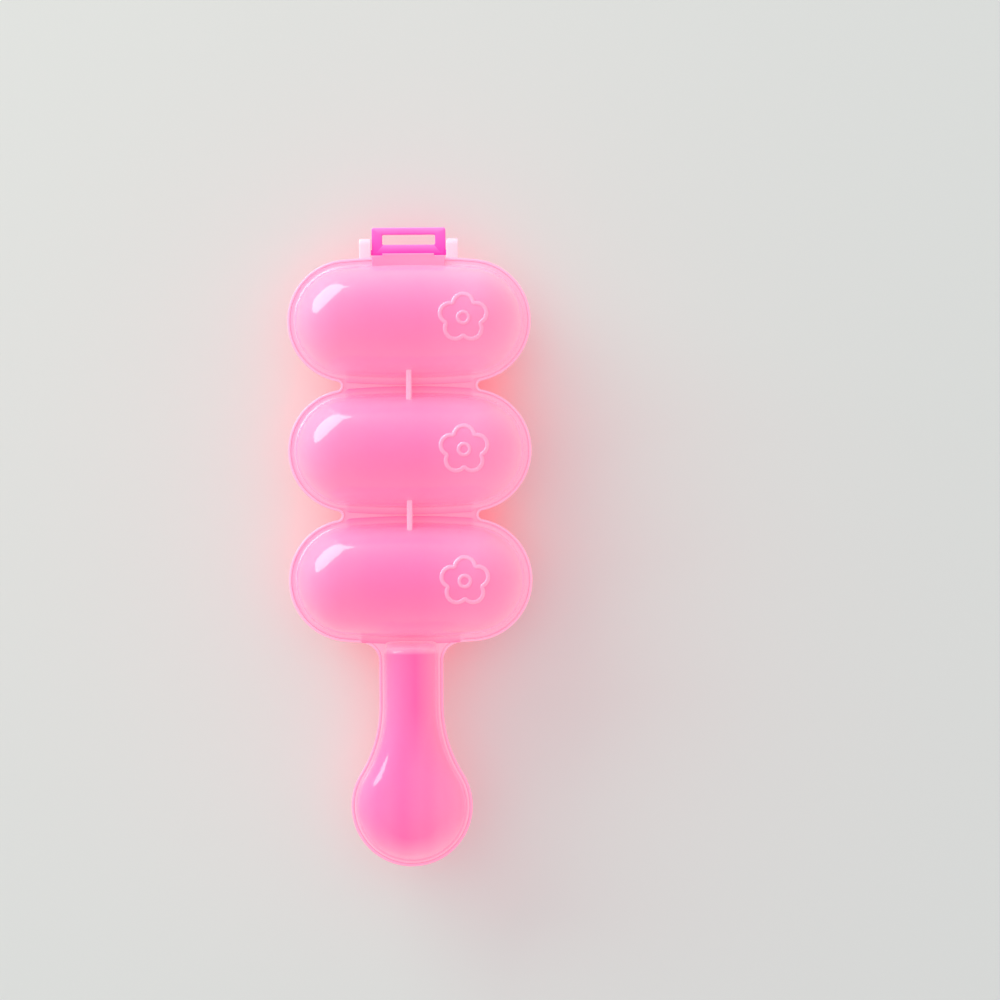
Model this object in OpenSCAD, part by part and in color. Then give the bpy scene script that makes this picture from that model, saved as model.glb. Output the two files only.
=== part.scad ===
// Three-bowl rice mold: two loose clam halves with a flat teardrop grip, and a flip latch.
// The tool lies flat with its latch end towards +Y and its grip towards -Y.
// Each half is one moulding of even wall, so bowls, webs, rim and half grip are one node.

/* [Bowls] */
// Distance between the middles of neighbouring bowls
bowl_pitch = 46; // [45.6:0.2:50]
// Length of each bowl's rim, across the tool
bowl_length = 86.4; // [76:0.4:100]
// Width of each bowl's rim at its middle
bowl_width = 45.4; // [42:0.2:45.4]
// How much smaller the radius of the rounded rim ends is than half the width
end_bow = 0.85; // [0.5:0.05:1.5]
// Distance from the rim's edge in to the foot of the dome
dome_step = 2.6; // [2.4:0.1:3.6]
// Wall thickness of bowls and grip
wall = 1.6; // [1.2:0.1:2]

/* [Rim] */
// Thickness of the flange of each half
flange = 1.8; // [1.5:0.1:2]
// Width of the lower half's upright lip
lip = 1; // [0.8:0.1:1.1]
// Gap between the lip and the upper half's flange
lip_gap = 0.15; // [0.1:0.05:0.25]
// Half the width of the web that joins two bowls
web_half = 24.3; // [18:0.1:25]
// Thickness of the web between two bowls
web_thick = 1; // [0.8:0.1:1.2]
// Thickness of the stiffening rib across each valley
rib_thick = 2; // [1.5:0.1:3]
// Height of the stiffening rib above the parting plane
rib_height = 9.6; // [6:0.2:11]

/* [Grip] */
// Distance from the last bowl's middle to the grip's middle
grip_reach = 80; // [76:1:100]
// Width of the round end of the grip
grip_width = 43; // [40:0.5:48]
// Height of the hump at the round end, above the parting plane
grip_height = 12.5; // [11:0.5:15]
// Width of the neck
neck_width = 22.8; // [20:0.2:25]
// Height of the hump along the neck, above the parting plane
neck_height = 9.2; // [8:0.2:10.6]
// Distance from the grip's edge in to the foot of the hump
grip_step = 2.2; // [2.2:0.1:2.6]
// Radius of the hollow shoulders between neck and round end
shoulder_radius = 46; // [36:1:50]
// Radius of the corners between neck and last bowl
root_radius = 6.5; // [4:0.5:8]
// Fullness of the hump's cross-section, 2 being an ellipse
fullness = 2.2; // [2:0.1:3]

/* [Latch] */
// Width of the latch frame
latch_width = 26.2; // [24:0.2:30]
// Width of the window in the latch
window_width = 18.8; // [14:0.2:19]
// Length of the bar at the latch's hinged end
near_bar = 4; // [3:0.1:5]
// Length of the window in the latch
window_length = 3.6; // [3.2:0.1:4.4]
// Length of the bar at the latch's free end
far_bar = 2.5; // [2:0.1:3.5]
// Thickness of the latch
latch_thick = 2.6; // [2:0.1:2.6]
// Radius of the latch's two stub pins
pin_radius = 0.95; // [0.8:0.05:1.1]
// Radial clearance of the pins in the ears
pin_play = 0.05; // [0.03:0.01:0.08]
// Width of each ear
ear_width = 4.2; // [3:0.1:5]
// How far each ear runs on beyond the pin before its rounded end
ear_reach = 2.7; // [0:0.1:4]

/* [Blossom] */
// Distance of the raised blossom from the middle of its bowl
blossom_x = 19.4; // [0:0.2:20]
// Radius from the blossom's middle to the middle of a petal
petal_reach = 4.8; // [4:0.1:5.2]
// Outer radius of a petal
petal_radius = 4.3; // [3.6:0.1:4.6]
// Width of the raised lines
line_width = 1.5; // [1:0.1:1.7]
// Height of the raised lines
relief = 0.5; // [0.3:0.1:0.7]

/* [Hidden] */
$fn = 64;

// bowl rim in plan: round ends, long sides bowed out a little by one large arc each
mid_r = bowl_width / 2;
end_r = mid_r - end_bow;
end_x = bowl_length / 2 - end_r;
arc_off = (end_x * end_x - end_bow * end_bow) / (2 * end_bow);
arc_r = arc_off + mid_r;
dome_in = dome_step + wall;
fit_in = lip + lip_gap;

// notch between two bowls: an arc that touches both rounded ends and the edge of the web
half_pitch = bowl_pitch / 2;
web_out = web_half - end_x;
notch_r = (web_out * web_out + half_pitch * half_pitch - end_r * end_r) / (2 * (end_r - web_out));
notch_x = web_half + notch_r;
web_start = (end_x + notch_x) / 2;

// latch pin, measured from the first bowl's middle and from the parting plane
bar_r = latch_thick / 2;
pin_y = mid_r + bar_r + 0.35;
pin_z = -1.2;
window_near = near_bar - bar_r;
window_far = window_near + window_length;
latch_reach = window_far + far_bar;
ear_r = pin_radius + 1.35;

// the whole tool is centred on the origin along Y
grip_r = grip_width / 2;
front_reach = pin_y + latch_reach;
back_reach = 2 * bowl_pitch + grip_reach + grip_r;
bowl_1 = (back_reach - front_reach) / 2;
bowl_2 = bowl_1 - bowl_pitch;
bowl_3 = bowl_2 - bowl_pitch;
grip_y = bowl_3 - grip_reach;
bowls = [bowl_1, bowl_2, bowl_3];

// parting plane, low enough to cut small feet on the lower crowns
foot_cut = 0.2;
part_z = mid_r - dome_step - foot_cut;

// shoulders: circle centres beside the neck
neck_half = neck_width / 2;
shoulder_x = neck_half + shoulder_radius;
shoulder_y = sqrt(pow(grip_r + shoulder_radius, 2) - pow(shoulder_x, 2));
root_x = neck_half + root_radius;
root_y = arc_off - sqrt(pow(arc_r + root_radius, 2) - pow(root_x, 2));

// catch on the upper half, inside the sweep of the latch's far bar
catch_top = pin_z + window_far - 0.15;
catch_low = flange + 0.15;
nose_y = pin_y - bar_r + 0.55;

// ---------- plan outlines, i = distance in from the rim's edge ----------

// one bowl's rim
module bowl_outline(i) {
    for (side = [-1, 1]) {
        translate([side * end_x, 0])
            circle(r = end_r - i);
        intersection() {
            translate([0, -side * arc_off])
                circle(r = arc_r - i);
            polygon([
                [-end_x, 0],
                [end_x, 0],
                [1.3 * end_x, side * 0.3 * arc_off],
                [-1.3 * end_x, side * 0.3 * arc_off]
            ]);
        }
    }
}

// neck, round end and hollow shoulders
module grip_outline(i) {
    translate([0, grip_y])
        circle(r = grip_r - i);
    translate([-neck_half + i, grip_y + shoulder_y])
        square([neck_width - 2 * i, grip_reach - shoulder_y]);
    difference() {
        translate([0, grip_y])
            polygon([
                [0, 0],
                [shoulder_x, shoulder_y],
                [-shoulder_x, shoulder_y]
            ]);
        for (side = [-1, 1])
            translate([side * shoulder_x, grip_y + shoulder_y])
                circle(r = shoulder_radius + i);
    }
}

// filled corners between the neck and the last bowl
module root_corners(i) {
    difference() {
        translate([0, bowl_3])
            polygon([
                [-root_x, root_y],
                [root_x, root_y],
                [0.9 * root_x, root_y + 0.1 * (arc_off - root_y)],
                [-0.9 * root_x, root_y + 0.1 * (arc_off - root_y)]
            ]);
        for (side = [-1, 1])
            translate([side * root_x, bowl_3 + root_y])
                circle(r = root_radius + i);
    }
}

// web of each valley, drawn in at both ends by the notch arcs
module web_strip(i) {
    for (y = [bowl_2, bowl_3])
        difference() {
            translate([0, y + half_pitch])
                polygon([
                    [web_start, -half_pitch / 2],
                    [notch_x, 0],
                    [web_start, half_pitch / 2],
                    [-web_start, half_pitch / 2],
                    [-notch_x, 0],
                    [-web_start, -half_pitch / 2]
                ]);
            for (side = [-1, 1])
                translate([side * notch_x, y + half_pitch])
                    circle(r = notch_r + i);
        }
}

// edge of a whole half
module outline(i) {
    for (y = bowls)
        translate([0, y])
            bowl_outline(i);
    web_strip(i);
    grip_outline(i);
    root_corners(i);
}

// ---------- bowls ----------

// one bowl as a body of revolution about its long axis
module bowl_body(i) {
    rotate([0, 90, 0])
        rotate_extrude()
            intersection() {
                rotate(90)
                    bowl_outline(i);
                translate([0, -bowl_length])
                    square([bowl_length, 2 * bowl_length]);
            }
}

module all_bowls(i) {
    for (y = bowls)
        translate([0, y, 0])
            bowl_body(i);
}

module above_parting() {
    translate([-100, -200, 0])
        cube([200, 400, 60]);
}

// ---------- hump of the grip ----------

SPANS = 22;
FRONT = 5;
SHOULDER = 11;
BACK = 10;
front_run = 4.4;
front_edge = grip_reach - mid_r + 0.6;

// half-width of the hump at distance s from the grip's middle, towards the bowls
function plan_half(s, i) =
    s >= shoulder_y ? neck_half - i :
    s >= shoulder_y * (grip_r - i) / (grip_r + shoulder_radius) ?
        shoulder_x - sqrt(pow(shoulder_radius + i, 2) - pow(shoulder_y - s, 2)) :
        sqrt(max(0, pow(grip_r - i, 2) - s * s));

// height of the hump's crest from the neck to the middle of the round end
function crest(s, d) =
    let (t = min(1, max(0, 1 - s / shoulder_y)))
    neck_height - d + (grip_height - neck_height) * t * t * (3 - 2 * t);

// each station is [place, half-width, height]; d = depth below the outer face
function front_station(k, d) =
    let (a = 8 + 82 * k / FRONT)
    [
        front_edge - d - front_run * (1 - cos(a)) * 0.9,
        (neck_half - grip_step - d) * (1 - 0.14 * pow(1 - sin(a), 2)),
        (neck_height - d) * pow(sin(a), 0.85)
    ];

function shoulder_station(k, d) =
    let (s = shoulder_y * (1 - k / SHOULDER))
    [s, plan_half(s, grip_step + d), crest(s, d)];

function back_station(k, d) =
    let (a = 90 * k / BACK, r = grip_r - grip_step - d)
    [-r * sin(a), r * cos(a), (grip_height - d) * pow(cos(a), 0.92)];

function stations(d) = concat(
    [for (k = [0:FRONT]) front_station(k, d)],
    [for (k = [0:SHOULDER]) shoulder_station(k, d)],
    [for (k = [1:BACK - 1]) back_station(k, d)]
);

// points of one skin: a rounded arch at every station, then the tip
function arch(st) = [
    for (k = [0:SPANS])
        let (a = 180 * k / SPANS, c = cos(a))
        [
            st[1] * sign(c) * pow(abs(c), 2 / fullness),
            st[0],
            k == 0 || k == SPANS ? 0 : st[2] * pow(sin(a), 2 / fullness)
        ]
];

function skin_points(d) = concat(
    [for (st = stations(d)) each arch(st)],
    [[0, -(grip_r - grip_step - d), 0]]
);

ROWS = FRONT + SHOULDER + BACK + 1;
ROW = SPANS + 1;
TIP = ROWS * ROW;
SKIN = TIP + 1;

// faces of one skin, wound outwards for o = 0 and inwards for the inner one
function turned(f, flip) = flip ? f : [f[2], f[1], f[0]];

function skin_faces(o, flip) = concat(
    [for (r = [0:ROWS - 2], k = [0:SPANS - 1])
        turned([o + r * ROW + k, o + r * ROW + k + 1, o + (r + 1) * ROW + k], flip)],
    [for (r = [0:ROWS - 2], k = [0:SPANS - 1])
        turned([o + r * ROW + k + 1, o + (r + 1) * ROW + k + 1, o + (r + 1) * ROW + k], flip)],
    [for (k = [0:SPANS - 1])
        turned([o + (ROWS - 1) * ROW + k, o + (ROWS - 1) * ROW + k + 1, o + TIP], flip)],
    [for (k = [1:SPANS - 1])
        turned([o, o + k + 1, o + k], flip)]
);

// ring at the parting plane between the two skins
function foot_faces() = concat(
    [for (r = [0:ROWS - 2], side = [0, 1])
        let (a = r * ROW + side * SPANS, b = a + ROW)
        turned([a, b, a + SKIN], side == 1)],
    [for (r = [0:ROWS - 2], side = [0, 1])
        let (a = r * ROW + side * SPANS, b = a + ROW)
        turned([b, b + SKIN, a + SKIN], side == 1)],
    [for (side = [0, 1])
        let (a = (ROWS - 1) * ROW + side * SPANS)
        turned([a, TIP, a + SKIN], side == 1)],
    [for (side = [0, 1])
        let (a = (ROWS - 1) * ROW + side * SPANS)
        turned([TIP, TIP + SKIN, a + SKIN], side == 1)],
    [
        [0, SKIN + SPANS, SKIN],
        [0, SPANS, SKIN + SPANS]
    ]
);

// open-bottomed hump: neck with a rounded front end, swelling into the round end
module grip_hump() {
    translate([0, grip_y, 0])
        polyhedron(
            points = concat(skin_points(0), skin_points(wall)),
            faces = concat(skin_faces(0, false), skin_faces(SKIN, true), foot_faces())
        );
}

// opening that the flange leaves under the hump, up to the middle of the hump's wall
module grip_opening() {
    intersection() {
        grip_outline(grip_step + wall / 2);
        translate([-grip_width, grip_y - grip_width])
            square([2 * grip_width, grip_width + front_edge - wall / 2]);
    }
}

// ---------- parts shared by both halves, above the parting plane ----------

module half_shell(edge_in) {
    difference() {
        union() {
            intersection() {
                all_bowls(dome_step);
                above_parting();
            }
            linear_extrude(web_thick)
                web_strip(edge_in);
            linear_extrude(flange)
                difference() {
                    flange_outline(edge_in);
                    grip_opening();
                }
            valley_ribs();
            children();
        }
        all_bowls(dome_in);
    }
}

// flange in plan: set in from the edge, but at full width along the valleys
module flange_outline(edge_in) {
    for (y = bowls)
        translate([0, y])
            bowl_outline(edge_in);
    intersection() {
        for (y = bowls)
            translate([0, y])
                bowl_outline(0);
        web_strip(edge_in);
    }
    grip_outline(edge_in);
    root_corners(edge_in);
}

// upright ribs that tie neighbouring domes together
module valley_ribs() {
    reach = mid_r - dome_step;
    for (y = [bowl_2, bowl_3])
        translate([-rib_thick / 2, y + reach * 0.84, 0])
            cube([rib_thick, bowl_pitch - reach * 1.68, rib_height]);
}

// ledge and nose that the latch grips
module catch() {
    translate([-latch_width / 2 + 0.2, bowl_1 + mid_r - dome_step - 2, flange / 2])
        cube([latch_width - 0.4, dome_step + 0.4, catch_top - flange / 2]);
    translate([-latch_width / 2 + 0.2, bowl_1 + mid_r - dome_step - 2, catch_low])
        cube([latch_width - 0.4, dome_step + 2.2, catch_top - catch_low]);
    translate([-window_width / 2 + 0.3, bowl_1, 0])
        rotate([90, 0, 90])
            linear_extrude(window_width - 0.6)
                polygon([
                    [mid_r - 1, catch_low],
                    [mid_r + 0.2, catch_low],
                    [nose_y, catch_top - 1.1],
                    [nose_y, catch_top],
                    [mid_r - 1, catch_top]
                ]);
}

// raised line drawing of a five-petal blossom
module blossom_lines() {
    difference() {
        for (k = [0:4])
            rotate(72 * k + 18)
                translate([petal_reach, 0])
                    circle(r = petal_radius);
        for (k = [0:4])
            rotate(72 * k + 18)
                translate([petal_reach, 0])
                    circle(r = petal_radius - line_width);
        circle(r = petal_reach - 0.4);
    }
    difference() {
        circle(r = 2.6);
        circle(r = 1.3);
    }
}

module blossoms() {
    for (y = bowls)
        translate([0, y, 0])
            intersection() {
                difference() {
                    bowl_body(dome_step - relief);
                    bowl_body(dome_step + wall / 2);
                }
                translate([blossom_x, 0, 5])
                    linear_extrude(20)
                        blossom_lines();
            }
}

// ear for one stub pin, with a foot under the flange
module ear(side) {
    x0 = side > 0 ? latch_width / 2 + 0.25 : -latch_width / 2 - 0.25 - ear_width;
    translate([x0, bowl_1, 0])
        rotate([90, 0, 90])
            linear_extrude(ear_width)
                difference() {
                    union() {
                        translate([pin_y + ear_reach, pin_z])
                            circle(r = ear_r);
                        translate([mid_r - 1.1, pin_z - ear_r])
                            square([pin_y + ear_reach - mid_r + 1.1, 2 * ear_r]);
                        translate([mid_r - dome_step - 1, pin_z - ear_r])
                            square([dome_step + 2, ear_r]);
                    }
                    translate([pin_y, pin_z])
                        circle(r = pin_radius + pin_play);
                }
}

// ---------- the pieces ----------

module lower_shell() {
    color([1, 0.6, 0.8])
        translate([0, 0, part_z]) {
            difference() {
                union() {
                    rotate([0, 180, 0])
                        half_shell(lip / 2);
                    translate([0, 0, -flange])
                        linear_extrude(2 * flange)
                            difference() {
                                outline(0);
                                outline(lip);
                            }
                    difference() {
                        union() {
                            ear(1);
                            ear(-1);
                        }
                        translate([0, bowl_1, 0])
                            bowl_body(dome_in);
                    }
                }
                translate([-100, -200, -part_z - 10])
                    cube([200, 400, 10]);
            }
            rotate([0, 180, 0])
                grip_hump();
        }
}

module upper_shell() {
    color([1, 0.6, 0.8])
        translate([0, 0, part_z]) {
            union() {
                half_shell(fit_in)
                    catch();
                blossoms();
            }
            grip_hump();
        }
}

// flip frame lying open, with its stub pins
module latch() {
    color([1, 0.35, 0.78])
        translate([0, bowl_1 + pin_y, part_z + pin_z]) {
            difference() {
                translate([0, 0, -bar_r])
                    linear_extrude(latch_thick)
                        difference() {
                            union() {
                                translate([-latch_width / 2, 0])
                                    square([latch_width, latch_reach - 0.8]);
                                translate([-latch_width / 2 + 0.8, 0])
                                    square([latch_width - 1.6, latch_reach]);
                                for (side = [-1, 1])
                                    translate([side * (latch_width / 2 - 0.8), latch_reach - 0.8])
                                        circle(r = 0.8);
                            }
                            translate([-window_width / 2, window_near])
                                square([window_width, window_length]);
                        }
            }
            rotate([0, 90, 0])
                cylinder(r = bar_r, h = latch_width, center = true);
            rotate([0, 90, 0])
                cylinder(r = pin_radius, h = latch_width + 2 * ear_width - 0.2, center = true);
        }
}

lower_shell();
upper_shell();
latch();
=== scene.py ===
"""Glossy pink rice mold: two nested clam halves with three bowls each, and a magenta flip latch."""

import math

import bmesh
import bpy
import numpy as np
from bpy.props import FloatProperty, FloatVectorProperty, IntProperty, PointerProperty
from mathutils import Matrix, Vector


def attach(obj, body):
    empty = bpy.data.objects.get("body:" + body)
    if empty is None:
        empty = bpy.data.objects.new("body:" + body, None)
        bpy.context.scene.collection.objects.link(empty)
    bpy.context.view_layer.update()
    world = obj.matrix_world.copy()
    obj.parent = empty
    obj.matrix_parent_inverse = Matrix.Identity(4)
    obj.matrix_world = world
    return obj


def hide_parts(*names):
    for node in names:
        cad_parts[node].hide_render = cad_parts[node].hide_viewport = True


bl_info = {
    "name": "Rice Mold",
    "version": (1, 0, 0),
    "blender": (4, 5, 0),
    "location": "View3D > Sidebar > Rice Mold",
    "description": "Builds a three-bowl rice mold with a teardrop grip and a flip latch",
    "category": "Add Mesh",
}

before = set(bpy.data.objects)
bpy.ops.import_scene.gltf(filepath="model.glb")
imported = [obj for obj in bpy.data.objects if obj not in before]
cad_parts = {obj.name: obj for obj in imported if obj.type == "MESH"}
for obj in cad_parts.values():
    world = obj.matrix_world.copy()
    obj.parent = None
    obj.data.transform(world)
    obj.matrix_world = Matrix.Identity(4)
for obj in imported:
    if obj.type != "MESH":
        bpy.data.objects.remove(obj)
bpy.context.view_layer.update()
MM = 0.001

# length of the slope at the front of the grip's hump
FRONT_SLOPE = 3.96 * MM
# smallest step, which keeps two surfaces out of one plane
HAIR = 0.02 * MM
# radius of an edge that hardly shows
HIDDEN_EDGE = 0.1 * MM
# between the first bowl's rim and the latch's near bar
LATCH_GAP = 0.35 * MM
# cut off each lower crown, so that the tool lies flat
CROWN_CUT = 0.2 * MM
# stretch over which a bowl's band draws in beside a valley
BAND_BLEND = 1.2 * MM
# edges that turn more than this are drawn sharp
SHARP_EDGE = math.radians(40)
# from the middle of the floor to its edges
FLOOR_REACH = 3.0

# Tones: how much paler (above 0) or deeper (below 0) the plastic of a piece looks.
RIB_TONE = 0.4
# painted shade: the web plates, which lie in the groove between two bands, are deeper
WEB_PAINTED_SHADE = -0.24
# painted highlight: the raised blossom lines are paler, as where they catch the light
BLOSSOM_PAINTED_HIGHLIGHT = 0.5
# painted shadow: the catch and ledge under the latch are deeper
CATCH_PAINTED_SHADOW = -0.45
EAR_TONE = 0.1
# painted highlight: the grip's flange is paler, as a bright line along its edge
GRIP_FLANGE_PAINTED_HIGHLIGHT = 0.3
# painted shade: the lip round the grip is duller, so that the flange's painted highlight stands out
GRIP_LIP_PAINTED_SHADE = -0.3
# each bowl is a touch deeper than the one before
BOWL_ORDER_TONE = -0.05
# inset normals on the lamp's side of a rim point this way; there the bowls get painted shade
AWAY_FROM_LAMP = np.array([0.68, -0.73])


# ---------------------------------------------------------------- settings


def length(name, millimetres, description):
    """A length that a user can change, in metres as Blender keeps it."""
    return FloatProperty(name=name, description=description, default=millimetres * MM, unit="LENGTH")


def angle(name, degrees, description):
    """An angle that a user can change, in radians as Blender keeps it."""
    return FloatProperty(name=name, description=description, default=math.radians(degrees), subtype="ANGLE")


def pigment(name, default, description):
    """A colour that a user can change."""
    return FloatVectorProperty(name=name, description=description, subtype="COLOR", size=3, default=default)


class MoldSizes(bpy.types.PropertyGroup):
    """Sizes of the two halves."""

    bowl_pitch: length("Bowl pitch", 46, "Distance between neighbouring bowls")
    bowl_length: length("Bowl length", 86.4, "Length of a bowl's rim across the tool")
    bowl_width: length("Bowl width", 45.4, "Width of a bowl's rim at its middle")
    end_bow: length("End bow", 0.85, "How much smaller the rim's end radius is than half its width")
    dome_step: length("Dome step", 2.6, "From the rim's edge in to the foot of the dome")
    foot_fillet: length("Foot fillet", 0.8, "Radius at the foot of the dome")
    wall: length("Wall", 1.6, "Thickness of bowls and grip")
    flange: length("Flange", 1.8, "Thickness of each flange")
    nib: length("Nib", 0.15, "Radius of a flange's edge")
    lip: length("Lip", 1.0, "Width of the lower half's lip")
    lip_gap: length("Lip gap", 0.15, "Gap between the lip and the upper flange")
    web_half: length("Web half-width", 24.3, "Half the width of the webs")
    web_thick: length("Web", 1.0, "Thickness of the webs")
    rib_thick: length("Rib", 2.0, "Thickness of the valley ribs")
    rib_height: length("Rib height", 9.6, "Height of the valley ribs")
    grip_reach: length("Grip reach", 80, "From the last bowl's middle to the grip's")
    grip_width: length("Grip width", 43, "Width of the round end")
    grip_height: length("Grip height", 12.5, "Height of the round end's hump")
    neck_width: length("Neck width", 22.8, "Width of the neck")
    neck_height: length("Neck height", 9.2, "Height of the neck's hump")
    grip_step: length("Grip step", 2.2, "From the grip's edge in to the foot of the hump")
    shoulder_radius: length("Shoulder radius", 46, "Radius of the hollow shoulders")
    root_radius: length("Root radius", 6.5, "Radius between neck and last bowl")
    fullness: FloatProperty(name="Fullness", description="Power in the section of the hump", default=2.2)


class LatchSizes(bpy.types.PropertyGroup):
    """Sizes of the flip latch, its ears and its catch."""

    width: length("Width", 26.2, "Width of the frame")
    window_width: length("Window width", 18.8, "Width of the window")
    near_bar: length("Near bar", 4.0, "Length of the hinged bar")
    window_length: length("Window length", 3.6, "Length of the window")
    far_bar: length("Far bar", 2.5, "Length of the far bar")
    thick: length("Thickness", 2.6, "Thickness of the frame")
    pin_radius: length("Pin", 0.95, "Radius of the stub pins")
    pin_play: length("Play", 0.05, "Clearance of the pins")
    ear_width: length("Ear", 4.2, "Width of an ear")
    ear_wall: length("Ear wall", 1.35, "Wall of an ear round its pin")
    ear_reach: length("Ear reach", 2.7, "How far an ear runs on beyond the pin")
    pin_drop: length("Pin drop", 1.2, "Depth of the pin below the parting plane")


class BlossomSizes(bpy.types.PropertyGroup):
    """Sizes of the raised line blossom on each bowl."""

    place: length("Place", 19.4, "From the bowl's middle")
    reach: length("Reach", 4.8, "To the middle of a petal")
    petal: length("Petal", 4.3, "Outer radius of a petal")
    heart: length("Heart", 1.95, "Radius of the ring at the heart")
    line: length("Line", 1.5, "Width of the lines")
    relief: length("Relief", 0.5, "Height of the lines")
    petals: IntProperty(name="Petals", description="Number of petals", default=5, min=3, max=8)


class MoldColours(bpy.types.PropertyGroup):
    """Colours of the plastics and of the table."""

    shell: pigment("Shell", (1.0, 0.14, 0.415), "Pink of the domes")
    # paler pink of the rims: painted sheen and light scattered in the milky plastic
    pale: pigment("Pale rim", (1.0, 0.40, 0.60), "Milky pink at the rims")
    ear: pigment("Ear", (1.0, 0.56, 0.68), "Palest pink, of the ears")
    latch: pigment("Latch", (0.93, 0.014, 0.46), "Magenta of the latch")
    # painted highlight on the latch's free end
    latch_painted_highlight: pigment("Latch ends", (0.97, 0.38, 0.80), "Paler magenta at the latch's free end")
    floor: pigment("Floor", (0.725, 0.746, 0.727), "Pale grey of the table")


class StageSettings(bpy.types.PropertyGroup):
    """Camera, lamp and sky."""

    scale: length("Picture width", 355, "Width that the picture shows at the rims")
    height: length("Camera height", 1100, "Height of the camera above the floor")
    turn: angle("Turn", -0.385, "Turn of the camera about the vertical")
    right: length("Right", 31.75, "From the tool's middle to the picture's, rightwards")
    up: length("Up", 16.56, "From the tool's middle to the picture's, upwards")
    azimuth: angle("Azimuth", 132.5, "Direction of the lamp, from +X towards +Y")
    elevation: angle("Elevation", 15, "Angle of the lamp above the table")
    distance: length("Distance", 2000, "From the tool's middle to the lamp")
    lamp_width: length("Lamp width", 2500, "Width of the elliptic lamp")
    lamp_height: length("Lamp height", 1220, "Height of the elliptic lamp")
    power: FloatProperty(name="Power", description="Power of the lamp", default=33.0, unit="POWER")
    light: pigment("Light", (1.0, 0.98, 0.84), "Colour of the lamp")
    sky: pigment("Sky", (0.995, 1.0, 1.03), "Colour of the sky light")
    sky_low: FloatProperty(name="Low sky", description="Strength of the sky at its dimmest", default=0.66)
    sky_high: FloatProperty(name="High sky", description="Its strength at its brightest", default=0.985)


class Plan:
    """Sizes worked out from the settings: the same plan as the solids have."""

    def __init__(self, scene):
        s, l = scene.mold_sizes, scene.latch_sizes
        self.s, self.l, self.b = s, l, scene.blossom_sizes
        self.mid_r = s.bowl_width / 2
        self.end_r = self.mid_r - s.end_bow
        self.end_x = s.bowl_length / 2 - self.end_r
        self.arc_off = (self.end_x**2 - s.end_bow**2) / (2 * s.end_bow)
        self.arc_r = self.arc_off + self.mid_r
        self.tangent = math.atan2(self.arc_off, self.end_x)
        self.dome_in = s.dome_step + s.wall
        self.fit_in = s.lip + s.lip_gap
        self.bar_r = l.thick / 2
        self.pin_y = self.mid_r + self.bar_r + LATCH_GAP
        self.window_near = l.near_bar - self.bar_r
        self.window_far = self.window_near + l.window_length
        self.latch_reach = self.window_far + l.far_bar
        self.grip_r = s.grip_width / 2
        front = self.pin_y + self.latch_reach
        back = 2 * s.bowl_pitch + s.grip_reach + self.grip_r
        first = (back - front) / 2
        self.bowls = [first, first - s.bowl_pitch, first - 2 * s.bowl_pitch]
        self.front_y = first + self.mid_r
        self.hinge_y = first + self.pin_y
        self.grip_y = self.bowls[2] - s.grip_reach
        self.part_z = self.mid_r - s.dome_step - CROWN_CUT
        self.neck_half = s.neck_width / 2
        self.shoulder_x = self.neck_half + s.shoulder_radius
        self.shoulder_y = math.sqrt((self.grip_r + s.shoulder_radius) ** 2 - self.shoulder_x**2)
        self.root_x = self.neck_half + s.root_radius
        self.root_y = self.arc_off - math.sqrt((self.arc_r + s.root_radius) ** 2 - self.root_x**2)
        half = s.bowl_pitch / 2
        out = s.web_half - self.end_x
        # arc in each notch, touching both bowl ends and the web's edge
        self.notch_r = (out**2 + half**2 - self.end_r**2) / (2 * (self.end_r - out))
        self.notch_x = s.web_half + self.notch_r


# ---------------------------------------------------------------- paths


def arc(centre, radius, start, end, count, hollow=False):
    """Points at centre + radius (cos a, sin a), with normals into the material: towards the centre, or away
    from it where the arc is hollow."""
    a = np.linspace(start, end, count)
    way = np.stack([np.cos(a), np.sin(a)], 1)
    return np.array(centre) + radius * way, way if hollow else -way


def line(start, end, normal, count):
    """Evenly spaced points from start to end, all with one normal."""
    t = np.linspace(0, 1, count)[:, None]
    return (1 - t) * np.array(start) + t * np.array(end), np.tile(np.array(normal, float), (count, 1))


def chain(*pieces):
    """Runs joined end to end, without the doubled point where one meets the next."""
    points = [pieces[0][0]] + [p[0][1:] for p in pieces[1:]]
    normals = [pieces[0][1]] + [p[1][1:] for p in pieces[1:]]
    return np.concatenate(points), np.concatenate(normals)


def mirrored(run):
    """The run on the other side of x = 0, in reverse order."""
    flip = np.array([-1.0, 1.0])
    return run[0][::-1] * flip, run[1][::-1] * flip


def bowl_rim(p, ends=64, sides=56):
    """Closed rim of one bowl about the origin: an end arc, a long side arc, an end arc and a side arc.
    Also gives how far in from each point the bowl's spine lies."""
    t = p.tangent
    run = chain(
        arc((p.end_x, 0), p.end_r, -t, t, ends),
        arc((0, -p.arc_off), p.arc_r, t, math.pi - t, sides),
        arc((-p.end_x, 0), p.end_r, math.pi - t, math.pi + t, ends),
        arc((0, p.arc_off), p.arc_r, math.pi + t, 2 * math.pi - t, sides),
    )
    points, normals = run[0][:-1], run[1][:-1]
    on_end = np.abs(points[:, 0]) >= p.end_x + p.end_r * math.cos(t) - 1e-9
    rise = np.where(on_end, 1.0, normals[:, 1])
    return points, normals, np.where(on_end, p.end_r, -points[:, 1] / rise)


def grip_run(p):
    """Right side of the grip from the last bowl to the tip: root corner, neck, hollow shoulder, round end."""
    s = p.s
    root, shoulder = p.bowls[2] + p.root_y, p.grip_y + p.shoulder_y
    lean = math.atan2(p.arc_off - p.root_y, -p.root_x)
    turn = math.atan2(p.shoulder_y, p.shoulder_x)
    return chain(
        arc((p.root_x, root), s.root_radius, lean, math.pi, 20, hollow=True),
        line((p.neck_half, root), (p.neck_half, shoulder), (-1, 0), 16),
        arc((p.shoulder_x, shoulder), s.shoulder_radius, math.pi, math.pi + turn, 30, hollow=True),
        arc((0, p.grip_y), p.grip_r, turn, -math.pi / 2, 64),
    )


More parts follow.
